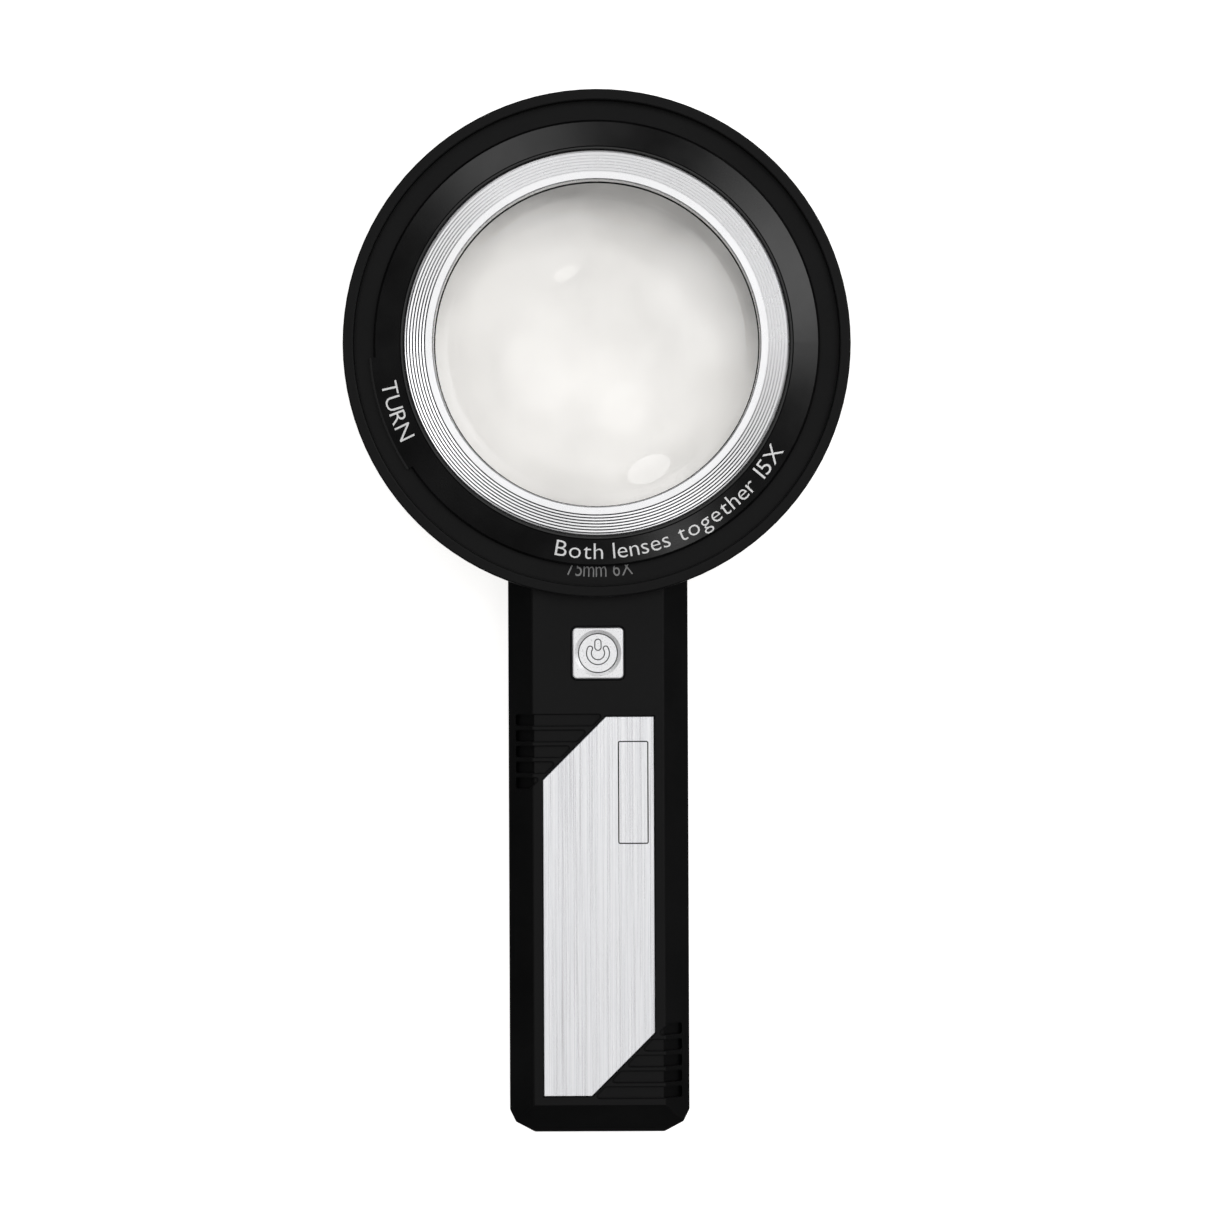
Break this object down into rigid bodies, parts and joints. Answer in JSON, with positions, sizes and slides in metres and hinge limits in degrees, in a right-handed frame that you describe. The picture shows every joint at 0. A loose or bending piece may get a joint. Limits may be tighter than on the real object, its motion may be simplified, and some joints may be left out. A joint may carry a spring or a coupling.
{
  "type": "illuminated hand magnifier",
  "caption": "Hand-held magnifier with a round lighted head, a removable second lens in a turning ring, and a bevelled battery handle.",
  "frame": {"origin": "middle of the back, on the plane that the magnifier rests on, half way along its length", "axes": "+Y from the handle to the head, +Z out of the front face along the lens axis, +X to the right seen from the front"},
  "size_m": [0.104, 0.2146, 0.026],
  "materials": {
    "shell_black": "black moulded ABS, fine satin texture",
    "back_black": "black moulded ABS, fine satin texture",
    "ring_black": "black moulded plastic, satin, white printing",
    "seal_rubber": "black rubber O-ring",
    "turned_aluminium": "turned, fine concentric grooves",
    "lens_glass": "clear polished optical glass",
    "main_lens_glass": "clear polished optical glass",
    "barrel_black": "matt black moulded plastic",
    "retainer_black": "matt black moulded plastic",
    "led_board_white": "white solder mask on an aluminium board",
    "led_yellow": "white package with a yellow phosphor dome",
    "diffuser_frosted": "frosted translucent acrylic",
    "button_white": "silver-white painted plastic",
    "switch_black": "black moulded switch housing",
    "plunger_ivory": "ivory acetal",
    "board_green": "green solder mask on glass-fibre board",
    "screw_steel": "nickel-plated steel",
    "chip_black": "moulded chip body",
    "inductor_ferrite": "dark ferrite drum with a wound band",
    "capacitor_can": "aluminium can with a sleeve",
    "brushed_plate": "brushed along the handle, clear anodised",
    "adhesive_white": "white double-sided adhesive sheet",
    "box_black": "matt black moulded plastic",
    "cell_sleeve": null,
    "spring_steel": "nickel-plated spring wire",
    "contact_nickel": "nickel-plated spring steel",
    "door_black": "black moulded ABS, fine satin texture",
    "screw_black": "black oxide steel",
    "wire_red": "PVC insulation",
    "wire_black": "PVC insulation"
  },
  "bodies": {
    "body": {"front_shell": "shell_black", "back_shell": "back_black", "main_lens": "main_lens_glass", "lens_barrel": "barrel_black", "lens_retainer": "retainer_black", "led_board": "led_board_white", "leds": "led_yellow", "light_diffuser": "diffuser_frosted", "switch_body": "switch_black", "circuit_board": "board_green", "board_screws": "screw_steel", "driver_parts": "chip_black", "inductor": "inductor_ferrite", "capacitor": "capacitor_can", "trim_plate": "brushed_plate", "trim_pad": "adhesive_white", "battery_box": "box_black", "cells": "cell_sleeve", "battery_springs": "spring_steel", "contact_plates": "contact_nickel", "contact_bridge": "contact_nickel", "shell_screws": "screw_black", "led_wires": "wire_red", "battery_wires": "wire_black"},
    "seal": {"ring_seal": "seal_rubber"},
    "ring": {"lens_ring": "ring_black", "grooved_bezel": "turned_aluminium", "second_lens": "lens_glass"},
    "button": {"power_button": "button_white", "switch_plunger": "plunger_ivory"},
    "door": {"battery_door": "door_black"}
  },
  "joints": [
    {"name": "lens_ring_lift", "type": "slide", "parent": "body", "child": "seal", "axis": [0, 0, 1], "range_m": [0, 0.024]},
    {"name": "lens_ring_turn", "type": "hinge", "parent": "seal", "child": "ring", "pos_m": [0, 0.05527, 0.018], "axis": [0, 0, 1], "range_deg": [0, 20]},
    {"name": "button_press", "type": "slide", "parent": "body", "child": "button", "axis": [0, 0, -1], "range_m": [0, 0.0006], "stiffness_N_per_m": 2500, "springref_m": -0.0002},
    {"name": "door_slide", "type": "slide", "parent": "body", "child": "door", "axis": [0, -1, 0], "range_m": [0, 0.06]}
  ]
}
